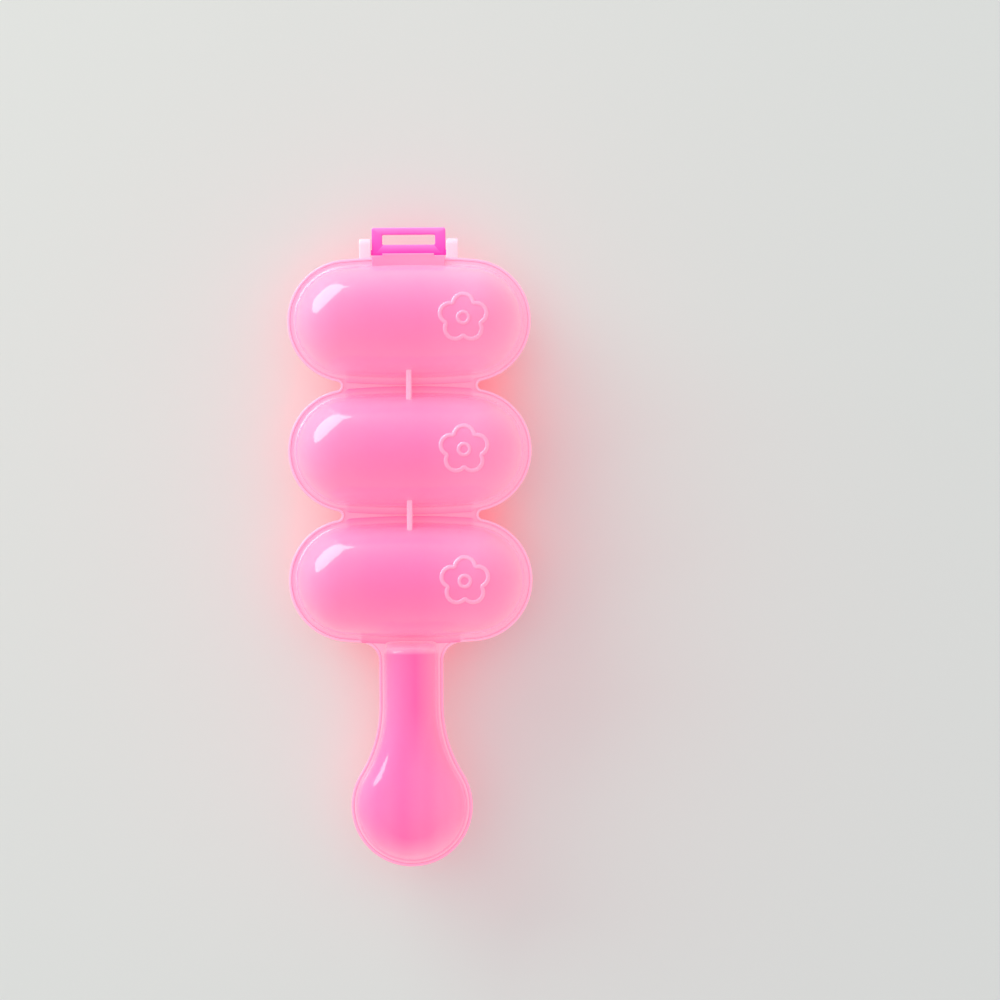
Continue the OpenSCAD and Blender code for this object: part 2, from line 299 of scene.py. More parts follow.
def whole_rim(p):
    """Closed outline of the tool: side arcs, bowl ends and notches down the right, the grip, and back up."""
    b = p.bowls
    half = p.s.bowl_pitch / 2
    down = math.atan2(-half, p.notch_x - p.end_x)
    root = math.atan2(p.arc_off - p.root_y, p.root_x)
    right = chain(
        arc((0, b[0] - p.arc_off), p.arc_r, math.pi / 2, p.tangent, 30),
        arc((p.end_x, b[0]), p.end_r, p.tangent, down, 56),
        arc((p.notch_x, b[0] - half), p.notch_r, down + math.pi, math.pi - down, 14, hollow=True),
        arc((p.end_x, b[1]), p.end_r, -down, down, 50),
        arc((p.notch_x, b[1] - half), p.notch_r, down + math.pi, math.pi - down, 14, hollow=True),
        arc((p.end_x, b[2]), p.end_r, -down, -p.tangent, 56),
        arc((0, b[2] + p.arc_off), p.arc_r, -p.tangent, -root, 16),
        grip_run(p),
    )
    points, normals = chain(right, mirrored(right))
    return points[:-1], normals[:-1]


# ---------------------------------------------------------------- surfaces


def ramp(value, start, end):
    """From 0 at start to 1 at end in a straight line, and level beyond both. End may be the smaller."""
    return np.clip((value - start) / (end - start), 0, 1)


def smooth(t):
    """Eases a share in and out: t^2 (3 - 2t)."""
    return t * t * (3 - 2 * t)


def grid(rows, wrap_rows=False, wrap_columns=False):
    """Vertices and four-sided faces of a surface given as an array of rows by columns by 3."""
    m, n = rows.shape[:2]
    index = np.arange(m * n).reshape(m, n)
    if wrap_rows:
        index = np.vstack([index, index[:1]])
    if wrap_columns:
        index = np.hstack([index, index[:, :1]])
    faces = np.stack([index[:-1, :-1], index[:-1, 1:], index[1:, 1:], index[1:, :-1]], -1)
    return rows.reshape(-1, 3), faces.reshape(-1, 4)


def joined(surfaces):
    """Vertices and faces of several surfaces as one."""
    starts = np.cumsum([0] + [len(surface[0]) for surface in surfaces])
    faces = [surface[1] + start for surface, start in zip(surfaces, starts, strict=False)]
    return np.concatenate([surface[0] for surface in surfaces]), np.concatenate(faces)


def capped(rows):
    """The rows with a point at the middle of the first and of the last one, which closes both ends."""
    first = np.repeat(rows[:1].mean(1, keepdims=True), rows.shape[1], 1)
    last = np.repeat(rows[-1:].mean(1, keepdims=True), rows.shape[1], 1)
    return np.concatenate([first, rows, last])


def below(surface):
    """The surface turned upside down about the parting plane."""
    return surface[0] * np.array([1.0, 1.0, -1.0]), *surface[1:]


def sweep(points, normals, profile):
    """A profile of (distance in from the path, height) carried round a closed path: point + inset normal."""
    inset, height = profile[:, 0], profile[:, 1]
    plan = points[:, None, :] + inset[None, :, None] * normals[:, None, :]
    z = np.broadcast_to(height, plan.shape[:2])[..., None]
    return grid(np.concatenate([plan, z], -1), True, True)


def sideways(loop):
    """Unit vectors at right angles to a closed path, from the step between each point's two neighbours."""
    step = np.roll(loop, -1, 0) - np.roll(loop, 1, 0)
    step /= np.maximum(np.linalg.norm(step, axis=1, keepdims=True), 1e-12)
    return np.stack([step[:, 1], -step[:, 0]], 1)


def rounded_ends(x0, x1, nib):
    """Places from x0 to x1, and how far in the section is drawn at each: on a quarter circle at both ends."""
    a = np.radians(np.linspace(0, 90, 5))
    along, inwards = nib * (1 - np.cos(a)), nib * (1 - np.sin(a))
    return np.concatenate([x0 + along, x1 - along[::-1]]), np.concatenate([inwards, inwards[::-1]])


def corner(centre, radius, start, end, count=6):
    """Points of a rounded corner in a profile, from start to end in degrees."""
    a = np.radians(np.linspace(start, end, count))
    return np.array(centre) + radius * np.stack([np.cos(a), np.sin(a)], 1)


def rounded_box(u0, u1, v0, v1, radii, count=6):
    """Closed profile of a rectangle with its own radius at each corner, from low u and v round."""
    a, b, c, d = radii
    return np.concatenate(
        [
            corner((u0 + a, v0 + a), a, 180, 270, count),
            corner((u1 - b, v0 + b), b, 270, 360, count),
            corner((u1 - c, v1 - c), c, 0, 90, count),
            corner((u0 + d, v1 - d), d, 90, 180, count),
        ]
    )


def toned(surface, tone):
    """The surface with its tone, one for all of it or one for every vertex."""
    return surface[0], surface[1], np.broadcast_to(tone, len(surface[0]))


def make_piece(name, surfaces, material, body, lift):
    """One mesh object from several closed surfaces. Doubled points are merged, faces turned outwards and
    the whole is lifted to the parting plane, so its object stays at the origin."""
    vertices, faces = joined(surfaces)
    tones = [surface[2] if len(surface) > 2 else np.zeros(len(surface[0])) for surface in surfaces]
    mesh = bpy.data.meshes.new(name)
    mesh.from_pydata((vertices + np.array([0, 0, lift])).tolist(), [], faces.tolist())
    tone = mesh.attributes.new("tone", "FLOAT", "POINT")
    tone.data.foreach_set("value", np.concatenate(tones).astype(np.float32))
    work = bmesh.new()
    work.from_mesh(mesh)
    bmesh.ops.remove_doubles(work, verts=work.verts, dist=2e-7)
    bmesh.ops.dissolve_degenerate(work, edges=work.edges, dist=1e-8)
    bmesh.ops.recalc_face_normals(work, faces=work.faces)
    work.to_mesh(mesh)
    work.free()
    mesh.shade_smooth()
    mesh.set_sharp_from_angle(angle=SHARP_EDGE)
    piece = bpy.data.objects.new(name, mesh)
    bpy.context.scene.collection.objects.link(piece)
    mesh.materials.append(material)
    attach(piece, body)
    return piece


# ---------------------------------------------------------------- bowls


def dome_height(p, x, y, inset):
    """Height of a bowl's skin above the parting plane at plan places (x, y) about the bowl's middle.
    The skin is turned about the long axis: its radius at x is that of the large side arc, or of the end
    circle beyond the point where they touch, and height = sqrt(radius^2 - y^2)."""
    ax = np.abs(x)
    touch = (p.arc_r - inset) * math.cos(p.tangent)
    side = np.sqrt(np.maximum((p.arc_r - inset) ** 2 - ax**2, 0)) - p.arc_off
    end = np.sqrt(np.maximum((p.end_r - inset) ** 2 - (ax - p.end_x) ** 2, 0))
    radius = np.where(ax <= touch, side, end)
    return np.sqrt(np.maximum(radius**2 - y**2, 0))


def bowl_shell(p, middle, edge, crown_cut=None, outer=40, inner=30):
    """One bowl with its band of flange, as a closed wall. Across the rim a section runs from the crown down
    the outer dome, through a fillet, over the band, round its edge, back under it and up the inner dome.
    edge gives, for every point of the rim, how far in from the outline the band ends."""
    s = p.s
    points, normals, spine = bowl_rim(p)
    edge = edge(points)[:, None]
    spine = spine[:, None]
    fillet, nib = s.foot_fillet, s.nib
    top = s.flange
    local = spine - s.dome_step
    foot = np.arcsin((top + fillet) / local)
    sweep_down = np.linspace(0, 1, outer)[None, :]
    a = math.pi / 2 * (1 - sweep_down) + foot * sweep_down
    dome_i = s.dome_step + local * (1 - np.cos(a))
    meets = dome_i[:, -1:]
    b = np.radians(np.linspace(0, -90, 7))[None, 1:]
    fillet_i = meets - fillet + fillet * np.cos(b)
    fillet_z = top + fillet + fillet * np.sin(b) + 0 * meets
    c = np.radians(np.linspace(90, 180, 6))[None, :]
    edge_i = edge + nib + nib * np.cos(c)
    edge_z = top - nib + nib * np.sin(c) + 0 * edge
    flat = 0 * edge
    under_i = np.concatenate([edge, edge + nib, flat + p.dome_in - HIDDEN_EDGE, flat + p.dome_in], 1)
    under_z = np.concatenate([flat + nib, flat, flat, flat + HIDDEN_EDGE], 1)
    inner_local = spine - p.dome_in
    rise = np.linspace(0, math.pi / 2, inner)[None, 1:]
    inner_i = p.dome_in + inner_local * (1 - np.cos(rise))
    inset = np.concatenate([dome_i, fillet_i, edge_i, under_i, inner_i], 1)
    plan = points[:, None, :] + inset[..., None] * normals[:, None, :]
    dome_plan, inner_plan = plan[:, :outer], plan[:, -(inner - 1) :]
    dome_z = dome_height(p, dome_plan[..., 0], dome_plan[..., 1], s.dome_step)
    if crown_cut:
        dome_z = np.minimum(dome_z, crown_cut)
    inner_z = dome_height(p, inner_plan[..., 0], inner_plan[..., 1], p.dome_in)
    z = np.concatenate([dome_z, fillet_z, edge_z, under_z, inner_z], 1)
    rows = np.concatenate([plan, z[..., None]], -1)
    rows[..., 1] += middle
    tone = bowl_tone(p, rows, inset, edge, normals) + BOWL_ORDER_TONE * (p.bowls[0] - middle) / s.bowl_pitch
    return toned(grid(rows, wrap_rows=True), tone.reshape(-1))


def bowl_tone(p, rows, inset, edge, normals):
    """Tone of a bowl, all painted light: painted shade along the very edge and in the band beside a valley or
    the neck, where the bands meet in a groove; painted shade low down on the lamp's side, to offset the gloss
    that pales it there; and a painted glow of light passing through, paler towards both ends."""
    adjoins = ramp(edge, 0.5 * p.s.lip, 0)
    painted_edge_shade = -0.3 * ramp(inset - edge, 0.8 * MM, 0) * (1 + 0.6 * adjoins)
    painted_valley_shade = -0.3 * adjoins * ramp(inset, 4.2 * MM, 2.7 * MM)
    painted_lamp_side_shade = ramp(normals @ AWAY_FROM_LAMP, 0, 1)[:, None] * ramp(inset, 7 * MM, 4 * MM)
    x = rows[..., 0]
    right = ramp(x, 5 * MM, 23 * MM)
    # this one turns to deeper again at the very tip
    left = ramp(x, -14 * MM, -22 * MM) * (2 * ramp(x, -49 * MM, -33 * MM) - 1)
    # painted light all through: shade at the edge, in the valley groove and on the lamp's side, and a glow
    # towards the ends
    return painted_edge_shade + painted_valley_shade - 0.2 * painted_lamp_side_shade + 0.17 * right + 0.05 * left


def band_edge(inner_edge, valleys):
    """How far in the band of a bowl ends: at the outline where a valley or the neck adjoins, set in
    elsewhere. valleys says for the far and the near side how wide that stretch is."""

    def edge(points):
        x, y = points[:, 0], points[:, 1]
        wide = np.where(y > 0, valleys[0], valleys[1])
        drawn_in = smooth(ramp(np.abs(x), wide, wide + BAND_BLEND))
        return inner_edge * np.where(wide > 0, drawn_in, 1.0)

    return edge


def web_plate(p, middle, inset):
    """Thin plate in a valley, drawn in at its ends by the notch arc: half-width = notch centre minus
    sqrt(notch radius^2 - y^2)."""
    s = p.s
    reach = 3.2 * MM
    y = np.linspace(-reach, reach, 41)
    hollow = p.notch_r + inset
    half = np.where(
        np.abs(y) < hollow * 0.98,
        p.notch_x - np.sqrt(np.maximum(hollow**2 - y**2, 0)),
        p.notch_x - hollow * 0.2,
    )
    profile = rounded_box(-1, 1, HAIR, s.web_thick, [1e-5] * 4, 2)
    x = half[:, None] * np.sign(profile[None, :, 0])
    long, high = np.broadcast_to((middle + y)[:, None], x.shape), np.broadcast_to(profile[:, 1], x.shape)
    # deeper tone: painted shade of the groove that the plate lies in
    return toned(grid(capped(np.stack([x, long, high], -1)), False, True), WEB_PAINTED_SHADE)


def valley_rib(p, middle):
    """Upright rib across a valley: a round-topped profile carried along y. The profile's top stands at 1 and
    is brought to the rib's height, which sags a little in the middle: height - sag (1 - (y/end)^2)."""
    s = p.s
    w = s.rib_thick / 2
    y = np.linspace(-1, 1, 25) * (s.bowl_pitch / 2 - (p.mid_r - s.dome_step) * 0.84)
    profile = rounded_box(-w, w, 0.5 * MM, 1.0, [HIDDEN_EDGE, HIDDEN_EDGE, 0.7 * MM, 0.7 * MM])
    sag = s.rib_height - 0.25 * MM * (1 - (y / y.max()) ** 2)
    z = np.where(profile[None, :, 1] > 0.5, profile[None, :, 1] - 1.0 + sag[:, None], profile[None, :, 1])
    x = np.broadcast_to(profile[:, 0], z.shape)
    rows = np.stack([x, np.broadcast_to((middle + y)[:, None], z.shape), z], -1)
    return toned(grid(capped(rows), False, True), RIB_TONE)


def bowls_of_half(p, edge_in, crown_cut=None):
    """Three bowls, two webs and two ribs, standing up from the parting plane."""
    s = p.s
    valley = s.web_half - p.fit_in - BAND_BLEND
    neck = p.root_x - 0.5 * MM
    sides = [(0.0, valley), (valley, valley), (valley, neck)]
    surfaces = [
        bowl_shell(p, middle, band_edge(edge_in, side), crown_cut)
        for middle, side in zip(p.bowls, sides, strict=True)
    ]
    for middle in p.bowls[:2]:
        surfaces.append(web_plate(p, middle - s.bowl_pitch / 2, edge_in))
        surfaces.append(valley_rib(p, middle - s.bowl_pitch / 2))
    return surfaces


# ---------------------------------------------------------------- grip


def hump_stations(p, depth, front=14, shoulder=50, back=36):
    """Place along the grip, half-width and crest height of the hump's skin at a depth below its outer face.
    The front end rises much like a quarter ellipse, the neck is straight, the shoulder follows the hollow
    plan arc while the crest eases up, and the round end closes on a circle in plan."""
    s = p.s
    inset = s.grip_step + depth
    a = np.radians(np.linspace(2, 90, front))
    start = s.grip_reach - p.mid_r + 0.6 * MM - depth
    f_place = start - FRONT_SLOPE * (1 - np.cos(a))
    f_wide = (p.neck_half - inset) * (1 - 0.14 * (1 - np.sin(a)) ** 2)
    f_tall = (s.neck_height - depth) * np.sin(a) ** 0.85
    m_place = np.linspace(p.shoulder_y, 0, shoulder)
    join = p.shoulder_y * (p.grip_r - inset) / (p.grip_r + s.shoulder_radius)
    hollow = p.shoulder_x - np.sqrt((s.shoulder_radius + inset) ** 2 - (p.shoulder_y - m_place) ** 2)
    round_end = np.sqrt(np.maximum((p.grip_r - inset) ** 2 - m_place**2, 0))
    m_wide = np.where(m_place >= join, hollow, round_end)
    rise = smooth(ramp(m_place, p.shoulder_y, 0))
    m_tall = s.neck_height - depth + (s.grip_height - s.neck_height) * rise
    b = np.radians(np.linspace(0, 90, back))[1:]
    r = p.grip_r - inset
    e_place, e_wide = -r * np.sin(b), r * np.cos(b)
    e_tall = (s.grip_height - depth) * np.maximum(np.cos(b), 0) ** 0.92
    return (
        np.concatenate([f_place, m_place, e_place]),
        np.concatenate([f_wide, m_wide, e_wide]),
        np.concatenate([f_tall, m_tall, e_tall]),
    )


def hump_skin(p, depth, spans=72):
    """One skin of the hump: at every station an arch x = w |cos a|^(2/n), z = h (sin a)^(2/n)."""
    place, wide, tall = hump_stations(p, depth)
    a = np.linspace(0, math.pi, spans + 1)
    power = 2 / p.s.fullness
    across = np.sign(np.cos(a)) * np.abs(np.cos(a)) ** power
    rise = np.maximum(np.sin(a), 0) ** power
    x = wide[:, None] * across
    z = np.maximum(tall[:, None] * rise, HAIR)
    y = np.broadcast_to((p.grip_y + place)[:, None], x.shape)
    return np.stack([x, y, z], -1)


def hump_surfaces(p):
    """Closed wall of the hump: outer skin, inner skin, and the strips between them at the parting plane."""
    outer, inner = hump_skin(p, 0), hump_skin(p, p.s.wall)
    skins = grid(np.concatenate([inner[::-1], outer]))
    strips = [grid(np.stack([outer[:, k], inner[:, k]], 1)) for k in (0, -1)]
    hump = joined([skins, *strips])
    # the hump's tone is painted light and shade
    return toned(hump, hump_painted_light(p, hump[0]))


def hump_painted_light(p, vertices):
    """Painted light and shade on the hump: deepest just right of the middle, paler towards both sides, more
    so on the right, and on the round end paler towards its tip, standing in for how light falls on and passes
    through the milky hump."""
    x, y = vertices[:, 0], vertices[:, 1]
    aside = np.abs(x - 1.6 * MM)
    behind = np.minimum(y - p.grip_y, 0)
    radius = np.maximum(np.hypot(x, behind), 1e-6)
    reach = radius / (p.grip_r - p.s.grip_step)
    shoulder = p.grip_y + p.shoulder_y
    bulb = ramp(y, shoulder, shoulder - 22 * MM)
    on_neck = np.minimum(aside / (22 * MM), 0.36) - 0.04
    on_bulb = 0.14 + 0.16 * smooth(ramp(aside, 3.5 * MM, 10 * MM)) + 0.1 * ramp(np.abs(x), 12 * MM, 16 * MM)
    on_bulb = on_bulb + 1.6 * ramp(reach, 0.56, 1.56) * (behind / radius) ** 2
    lean = 0.1 * np.clip(x / (5 * MM), -1.3, 1.5 - 0.9 * bulb)
    return on_neck * (1 - bulb) + on_bulb * bulb + lean


def foot_bead(p):
    """Small hollow fillet where the hump meets its flange: a profile carried round the hump's own contour
    at the flange's height, where half-width = w (1 - (z/h)^n)^(1/n)."""
    s = p.s
    level = s.flange + 0.1 * MM
    place, wide, tall = hump_stations(p, 0, front=24)
    keep = tall > level * 1.02
    n = s.fullness
    x = wide[keep] * (1 - (level / tall[keep]) ** n) ** (1 / n)
    y = p.grip_y + place[keep]
    right = np.stack([x, y], 1)
    loop = np.concatenate([right, right[::-1] * np.array([-1.0, 1.0])])
    inward = sideways(loop)
    inward *= np.sign((inward * (np.array([0, loop[:, 1].mean()]) - loop)).sum(1).mean())
    r = 0.55 * MM
    hollow = corner((-r, s.flange + r), r, -90, 0, 7)
    profile = np.concatenate([hollow, [[0.35 * MM, s.flange + r], [0.35 * MM, 1.0 * MM], [-r, 1.5 * MM]]])
    return sweep(loop, inward, profile)


def grip_flange(p, edge_in):
    """Band of flange round the grip from root to root, with the filled root corners: at every point of the
    outline a flat closed section runs from the edge in to the middle of the hump's wall."""
    s = p.s
    points, normals = chain(grip_run(p), mirrored(grip_run(p)))
    deep = s.grip_step + s.wall / 2
    outer = points + edge_in * normals
    inner = points + deep * normals
    root = points[:, 1] > p.bowls[2] + p.root_y
    inner[root, 0] = np.sign(points[root, 0]) * (p.neck_half - deep)
    inner[root, 1] = outer[root, 1]
    nib, top, low = s.nib, s.flange - HAIR, HAIR
    a = np.radians(np.linspace(90, 180, 6))
    share = np.concatenate([[1.0], 0 * a, [0.0, 1.0]])[None, :, None]
    nudge = np.concatenate([[0.0], nib + nib * np.cos(a), [0.0, 0.0]])[None, :, None]
    z = np.concatenate([[top], top - nib + nib * np.sin(a), [low, low]])
    plan = outer[:, None, :] * (1 - share) + inner[:, None, :] * share + nudge * normals[:, None, :]
    rows = np.concatenate([plan, np.broadcast_to(z, plan.shape[:2])[..., None]], -1)
    return grid(capped(rows), False, True)


# ---------------------------------------------------------------- blossom


def ridge(p, middle, plan, wide, tall):
    """A raised line on a bowl: across it the height follows a soft arch, tall (1 - u^2)^0.6, and its foot
    sinks in the wall."""
    side = sideways(plan)
    u = np.linspace(-1, 1, 13)
    arch = tall * (1 - u**2) ** 0.6 - 0.05 * MM
    across = np.concatenate([u, u[::-1][1:-1]]) * wide / 2
    rise = np.concatenate([arch, np.full(11, -0.4 * MM)])
    xy = plan[:, None, :] + across[None, :, None] * side[:, None, :]
    z = dome_height(p, xy[..., 0], xy[..., 1], p.s.dome_step - rise)
    rows = np.concatenate([xy, z[..., None]], -1)
    rows[..., 1] += middle
    # paler tone: painted highlight of the raised line
    return toned(grid(rows, True, True), BLOSSOM_PAINTED_HIGHLIGHT)


def blossom_surfaces(p, middle):
    """Five petal arcs joined into one closed line, and a ring at the heart. A petal's arc is its circle
    outside the point where it meets the next."""
    b = p.b
    r = b.petal - b.line / 2
    meet = math.pi / b.petals
    # along the ray between two petals, where the circle crosses it
    cross = b.reach * math.cos(meet) + math.sqrt(max(r**2 - (b.reach * math.sin(meet)) ** 2, 0))
    half = math.pi - math.atan2(cross * math.sin(meet), b.reach - cross * math.cos(meet))
    a = np.linspace(-half, half, 26)[1:-1]
    petals = []
    for k in range(b.petals):
        spin = 2 * math.pi * k / b.petals + math.radians(18)
        c, d = math.cos(spin), math.sin(spin)
        x, y = b.reach + r * np.cos(a), r * np.sin(a)
        petals.append(np.stack([x * c - y * d, x * d + y * c], 1))
    outline = np.concatenate(petals) + np.array([b.place, 0])
    t = np.linspace(0, 2 * math.pi, 41)[:-1]
    heart = b.heart * np.stack([np.cos(t), np.sin(t)], 1) + np.array([b.place, 0])
    return [ridge(p, middle, outline, b.line, b.relief), ridge(p, middle, heart, b.line * 0.87, b.relief)]


# ---------------------------------------------------------------- catch, ears and latch


def bar_between(profile, x0, x1, nib):
    """A closed profile of (y, z) carried from x0 to x1, drawn in at both ends on a quarter circle."""
    x, inset = rounded_ends(x0, x1, nib)
    inward = sideways(profile)
    inward *= np.sign((inward * (profile.mean(0) - profile)).sum())
    yz = profile[None] + inset[:, None, None] * inward[None]
    rows = np.concatenate([np.broadcast_to(x[:, None, None], yz.shape[:2] + (1,)), yz], -1)
    return grid(capped(rows), False, True)


def catch_surfaces(p):
    """Ledge across the front of the first dome, and the wedge-shaped nose that the latch's far bar holds."""
    l, s = p.l, p.s
    top = -l.pin_drop + p.window_far - 0.15 * MM
    low = s.flange + 0.15 * MM
    back = p.front_y - s.dome_step - 1.2 * MM
    front = p.front_y + 0.2 * MM
    ledge = rounded_box(back, front, low, top, [HIDDEN_EDGE, 0.3 * MM, 0.45 * MM, HIDDEN_EDGE])
    root = rounded_box(back, p.front_y - 2.2 * MM, s.flange / 2, top - 1 * MM, [HIDDEN_EDGE] * 4)
    nose_y = p.hinge_y - p.bar_r + 0.55 * MM
    y0 = p.front_y - 1 * MM
    nose = np.concatenate(
        [
            corner((y0 + HIDDEN_EDGE, low + HIDDEN_EDGE), HIDDEN_EDGE, 180, 270, 3),
            [[front, low + HAIR]],
            corner((nose_y - 0.25 * MM, top - 1.05 * MM), 0.25 * MM, -45, 0, 4),
            corner((nose_y - 0.3 * MM, top - 0.32 * MM), 0.3 * MM, 0, 90, 5),
            corner((y0 + HIDDEN_EDGE, top - 0.12 * MM), HIDDEN_EDGE, 90, 180, 3),
        ]
    )
    half = l.width / 2 - 0.2 * MM
    reach = l.window_width / 2 - 0.3 * MM
    return [
        bar_between(ledge, -half, half, 0.35 * MM),
        bar_between(root, -half + 0.2 * MM, half - 0.2 * MM, HIDDEN_EDGE),
        bar_between(nose, -reach, reach, 0.25 * MM),
    ]


def ear_surfaces(p, side):
    """Ear for a stub pin: a ring-shaped wall between a rounded outline and the pin's hole, as one closed
    section carried round both, and a foot that runs back under the flange."""
    l, s = p.l, p.s
    r = l.pin_radius + l.ear_wall
    hole = l.pin_radius + l.pin_play
    y0, z0 = p.hinge_y, -l.pin_drop
    back = p.front_y - 1.1 * MM
    x0 = l.width / 2 + 0.25 * MM
    x1 = x0 + l.ear_width
    t = np.linspace(-math.pi / 2, math.pi / 2, 25)
    tip = y0 + l.ear_reach
    nose = np.stack([tip + r * np.cos(t), z0 + r * np.sin(t)], 1)
    tail = np.concatenate(
        [
            np.stack([np.linspace(tip, back + 0.3 * MM, 12)[1:-1], np.full(10, z0 + r)], 1),
            np.stack([np.full(10, back), np.linspace(z0 + r - 0.2 * MM, z0 - r + 0.2 * MM, 10)], 1),
            np.stack([np.linspace(back + 0.3 * MM, tip, 12)[1:-1], np.full(10, z0 - r)], 1),
        ]
    )
    outline = np.concatenate([nose, tail])
    way = outline - np.array([y0, z0])
    turn = np.arctan2(way[:, 1], way[:, 0])
    bore = np.array([y0, z0]) + hole * np.stack([np.cos(turn), np.sin(turn)], 1)
    x, pull = rounded_ends(x0, x1, 0.4 * MM)
    inward = -way / np.linalg.norm(way, axis=1, keepdims=True)
    outer = outline[:, None, :] + pull[None, :, None] * inward[:, None, :]
    bevel = 0.12 * MM
    wide_bore = bore - bevel * inward
    yz = np.concatenate([outer, wide_bore[:, None], bore[:, None], bore[:, None], wide_bore[:, None]], 1)
    xs = np.concatenate([x, [x1, x1 - bevel, x0 + bevel, x0]])
    rows = np.concatenate([np.broadcast_to(xs[None, :, None], yz.shape[:2] + (1,)), yz], -1)
    rows[..., 0] *= side
    foot = rounded_box(
        p.front_y - s.dome_step - 1.0 * MM,
        p.front_y - 0.4 * MM,
        z0 - r + HAIR,
        -s.flange / 2,
        [0.35 * MM] * 4,
    )
    return [grid(rows, True, True), bar_between(foot, side * x0, side * x1, 0.3 * MM * side)]


def ring(half, low, high, r):
    """Outline of a rounded rectangle, with as many points on each side and corner whatever its size."""
    places = ((half - r, high - r), (-half + r, high - r), (-half + r, low + r), (half - r, low + r))
    corners = [corner(place, r, 90 * k, 90 * k + 90, 8) for k, place in enumerate(places)]
    run = np.linspace(0, 1, 12)[1:-1, None]
    outline = []
    for k, part in enumerate(corners):
        outline += [part, (1 - run) * part[-1] + run * corners[(k + 1) % 4][0]]
    return np.concatenate(outline)


def latch_surfaces(p):
    """Frame of the latch: at every step round it a rounded closed section spans from the outer outline to
    the window's, whose points are at like places. The near bar's section is round at its outer side."""
    l = p.l
    y0, z0 = p.hinge_y, -l.pin_drop
    half, inner = l.width / 2, l.window_width / 2
    outer = ring(half, y0 - p.bar_r, y0 + p.latch_reach, 0.8 * MM)
    window = ring(inner, y0 + p.window_near, y0 + p.window_far, 0.5 * MM)
    near = ramp(outer[:, 1], y0 + p.bar_r * 1.6, y0 + p.bar_r * 0.4)
    gap = np.linalg.norm(window - outer, axis=1)[:, None]
    edge = 0.45 * MM
    full = edge + near[:, None] * (p.bar_r - HAIR - edge)
    a = np.radians(np.linspace(0, 90, 7))[None, :]
    h = p.bar_r
    ins = [full * (1 - np.cos(a)), gap - edge * (1 - np.cos(a[:, ::-1]))]
    ups = [h - full + full * np.sin(a), h - edge + edge * np.sin(a[:, ::-1]) + 0 * gap]
    inset = np.concatenate(ins + [ins[1][:, ::-1], ins[0][:, ::-1]], 1)
    z = np.concatenate(ups + [-ups[1][:, ::-1], -ups[0][:, ::-1]], 1)
    t = inset / gap
    xy = outer[:, None, :] * (1 - t[..., None]) + window[:, None, :] * t[..., None]
    frame_rows = np.concatenate([xy, (z0 + z)[..., None]], -1)
    # painted highlights: paler at the free end and along the window's edge on the near bar
    out = frame_rows[..., 1] - y0
    inside = np.abs(frame_rows[..., 0]) < inner - 0.2 * MM
    painted_window_highlight = inside * ramp(np.abs(out - 2.3 * MM), 0.8 * MM, 0.3 * MM)
    tone = 0.5 * ramp(out, 7.9 * MM, 8.8 * MM) + 0.38 * painted_window_highlight
    surfaces = [toned(grid(frame_rows, True, True), tone.reshape(-1))]
    turn = np.linspace(0, 2 * math.pi, 33)[:-1]
    pin = np.stack([y0 + l.pin_radius * np.cos(turn), z0 + l.pin_radius * np.sin(turn)], 1)
    reach = half + l.ear_width - 0.1 * MM
    surfaces.append(bar_between(pin, half - 1 * MM, reach, 0.25 * MM))
    surfaces.append(bar_between(pin, -reach, -half + 1 * MM, 0.25 * MM))
    return surfaces


# ---------------------------------------------------------------- materials


def new_group(name, inputs, outputs):
    """An empty shader node group with named sockets, and its input and output nodes."""
    tree = bpy.data.node_groups.new(name, "ShaderNodeTree")
    for label, kind, value in inputs:
        socket = tree.interface.new_socket(name=label, in_out="INPUT", socket_type=kind)
        socket.default_value = value
    for label, kind in outputs:
        tree.interface.new_socket(name=label, in_out="OUTPUT", socket_type=kind)
    return tree, tree.nodes.new("NodeGroupInput"), tree.nodes.new("NodeGroupOutput")


def noise(tree, vector, scale, detail=2.0, rough=0.5):
    """A noise texture node on a vector socket."""
    node = tree.nodes.new("ShaderNodeTexNoise")
    node.inputs["Scale"].default_value = scale
    node.inputs["Detail"].default_value = detail
    node.inputs["Roughness"].default_value = rough
    tree.links.new(vector, node.inputs["Vector"])
    return node.outputs["Fac"]


def remap(tree, value, low, high, to_low, to_high):
    """A Map Range node that clamps."""
    node = tree.nodes.new("ShaderNodeMapRange")
    for label, number in (("From Min", low), ("From Max", high), ("To Min", to_low), ("To Max", to_high)):
        node.inputs[label].default_value = number
    tree.links.new(value, node.inputs["Value"])
    return node.outputs["Result"]


def math_node(tree, operation, *values, clamp=False):
    """A Math node on sockets and plain numbers."""
    node = tree.nodes.new("ShaderNodeMath")
    node.operation = operation
    node.use_clamp = clamp
    for socket, value in zip(node.inputs, values, strict=False):
        if isinstance(value, (int, float)):
            socket.default_value = value
        else:
            tree.links.new(value, socket)
    return node.outputs[0]


def blend(tree, mask, low, high):
    """A Mix node of two colours by a mask. Each colour is a socket or three numbers."""
    node = tree.nodes.new("ShaderNodeMix")
    node.data_type = "RGBA"
    tree.links.new(mask, node.inputs[0])
    for socket, value in ((node.inputs[6], low), (node.inputs[7], high)):
        if isinstance(value, bpy.types.NodeSocket):
            tree.links.new(value, socket)
        else:
            socket.default_value = (*value, 1)
    return node.outputs[2]


